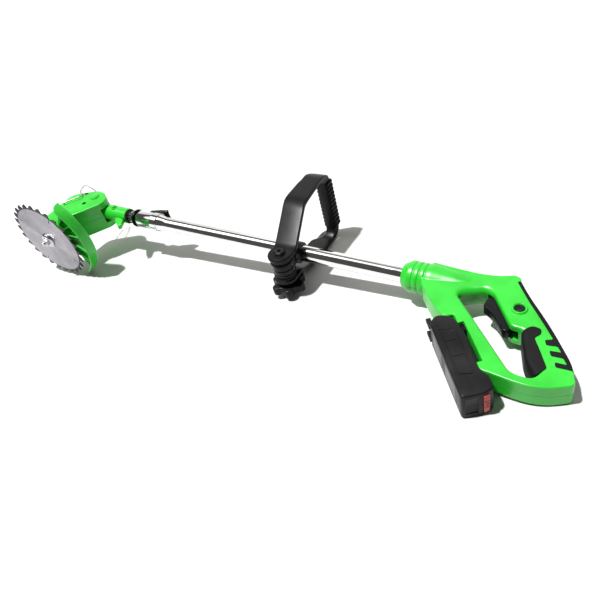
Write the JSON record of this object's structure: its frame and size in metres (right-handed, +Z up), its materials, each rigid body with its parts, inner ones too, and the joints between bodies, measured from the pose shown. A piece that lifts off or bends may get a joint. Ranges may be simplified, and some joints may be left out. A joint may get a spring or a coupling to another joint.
{
  "type": "brush cutter",
  "caption": "Cordless brush cutter with a circular blade on a swivelling head, a telescopic chrome pole, a tilting D-handle, a rear trigger handle and a slide-on battery.",
  "frame": {"origin": "centre of the bounding box at the floor", "axes": "+X along the pole, from the blade head to the rear handle; +Y towards the D-handle side, which is the top in use; +Z up, with the tool lying on its right side"},
  "size_m": [1.0288, 0.3332, 0.1684],
  "materials": {
    "green_plastic": "bright green moulded nylon with a soft gloss",
    "black_plastic": "black moulded nylon, satin",
    "rubber": "black overmoulded rubber, matt",
    "chrome_tube": "polished chromed steel tube",
    "steel": "plain steel",
    "blade_steel": "ground blade steel",
    "red_plastic": "red moulded plastic",
    "circuit_board": "green circuit board",
    "cell_wrap": "blue shrink wrap on the cells"
  },
  "bodies": {
    "rear_handle": {"handle_shell_left": "green_plastic", "handle_shell_right": "green_plastic", "grip_pad_back": "rubber", "grip_pad_front": "rubber", "handle_screw_1": "steel", "handle_screw_2": "steel", "handle_screw_3": "steel", "trigger_spring": "steel", "lockoff_spring": "steel", "switch_module": "black_plastic", "terminal_block": "black_plastic", "outer_tube": "chrome_tube", "sleeve_ring": "black_plastic", "lock_bracket": "chrome_tube", "lock_pin": "steel", "lock_pad": "rubber", "coiled_lead": "rubber"},
    "inner_pole": {"inner_tube": "chrome_tube", "inner_tube_bush": "black_plastic", "neck_knuckle": "green_plastic", "neck_collar": "black_plastic", "tilt_button_spring": "steel"},
    "head": {"head_shell_left": "green_plastic", "head_shell_right": "green_plastic", "head_screw_1": "steel", "head_screw_2": "steel", "tilt_pin": "steel", "motor_can": "steel", "front_bearing": "steel", "rear_bearing": "steel", "blade_guard": "green_plastic", "guard_screw_1": "steel", "guard_screw_2": "steel"},
    "blade": {"motor_rotor": "steel", "cooling_fan": "black_plastic", "inner_flange": "steel", "saw_blade": "blade_steel", "outer_flange": "steel", "blade_nut": "steel"},
    "wire_spacer": {"wire_spacer": "steel"},
    "tilt_button": {"tilt_button": "green_plastic"},
    "neck_lever": {"neck_lever": "green_plastic"},
    "lock_lever": {"lock_lever": "black_plastic"},
    "handle_clamp": {"tube_clamp": "black_plastic", "ratchet_ring_upper": "black_plastic", "ratchet_ring_lower": "black_plastic"},
    "d_handle": {"d_handle_frame": "black_plastic", "d_handle_grip": "rubber", "handle_bolt": "steel"},
    "star_knob": {"star_knob": "black_plastic"},
    "trigger": {"trigger": "black_plastic"},
    "lockoff_button": {"lockoff_button": "black_plastic"},
    "battery": {"battery_case_left": "black_plastic", "battery_case_right": "black_plastic", "battery_cell_1": "cell_wrap", "battery_cell_2": "cell_wrap", "battery_cell_3": "cell_wrap", "battery_cell_4": "cell_wrap", "battery_board": "circuit_board"},
    "battery_release": {"battery_release": "red_plastic"}
  },
  "joints": [
    {"name": "pole_slide", "type": "slide", "parent": "rear_handle", "child": "inner_pole", "axis": [-0.9975, -0.0024, 0.0706], "range_m": [0, 0.24]},
    {"name": "head_tilt", "type": "hinge", "parent": "inner_pole", "child": "head", "pos_m": [-0.375, 0.02239, 0.0893], "axis": [0.0706, -0.0669, 0.9953], "range_deg": [-75, 0]},
    {"name": "blade_spin", "type": "hinge", "parent": "head", "child": "blade", "pos_m": [-0.43211, -0.0845, 0.08616], "axis": [0.0024, 0.9978, 0.0669], "continuous": true},
    {"name": "spacer_swing", "type": "hinge", "parent": "head", "child": "wire_spacer", "pos_m": [-0.44391, -0.01169, 0.09189], "axis": [0.0706, -0.0669, 0.9953], "range_deg": [0, 110]},
    {"name": "tilt_button_press", "type": "slide", "parent": "inner_pole", "child": "tilt_button", "axis": [-0.0706, 0.0669, -0.9953], "range_m": [0, 0.003], "stiffness_N_per_m": 300, "springref_m": -0.002, "deforming": ["tilt_button_spring"]},
    {"name": "neck_lever_squeeze", "type": "hinge", "parent": "inner_pole", "child": "neck_lever", "pos_m": [-0.33014, 0.00893, 0.08521], "axis": [0.0706, -0.0669, 0.9953], "range_deg": [0, 5], "stiffness_Nm_per_rad": 0.08, "springref_deg": -8.59},
    {"name": "lock_lever_flip", "type": "hinge", "parent": "rear_handle", "child": "lock_lever", "pos_m": [-0.22831, 0.04429, 0.08037], "axis": [0.0706, -0.0669, 0.9953], "range_deg": [-100, 0]},
    {"name": "handle_slide", "type": "slide", "parent": "rear_handle", "child": "handle_clamp", "axis": [0.9975, 0.0024, -0.0706], "range_m": [-0.1, 0.08]},
    {"name": "handle_tilt", "type": "hinge", "parent": "handle_clamp", "child": "d_handle", "pos_m": [0.06482, -0.01148, 0.05584], "axis": [0.0706, -0.0669, 0.9953], "range_deg": [-50, 50]},
    {"name": "knob_turn", "type": "hinge", "parent": "d_handle", "child": "star_knob", "pos_m": [0.06228, -0.00907, 0.02001], "axis": [0.0706, -0.0669, 0.9953], "range_deg": [0, 720]},
    {"name": "trigger_pull", "type": "hinge", "parent": "rear_handle", "child": "trigger", "pos_m": [0.39605, 0.01524, 0.03416], "axis": [0.0706, -0.0669, 0.9953], "range_deg": [0, 8], "stiffness_Nm_per_rad": 0.12, "springref_deg": -8.59},
    {"name": "lockoff_press", "type": "slide", "parent": "rear_handle", "child": "lockoff_button", "axis": [-0.0706, 0.0669, -0.9953], "range_m": [0, 0.004], "stiffness_N_per_m": 300, "springref_m": -0.002, "deforming": ["lockoff_spring"]},
    {"name": "battery_slide", "type": "slide", "parent": "rear_handle", "child": "battery", "axis": [0.6123, -0.7848, -0.0962], "range_m": [0, 0.1]},
    {"name": "battery_release_press", "type": "slide", "parent": "battery", "child": "battery_release", "axis": [-0.6123, 0.7848, 0.0962], "range_m": [0, 0.003], "stiffness_N_per_m": 300, "springref_m": -0.002}
  ]
}
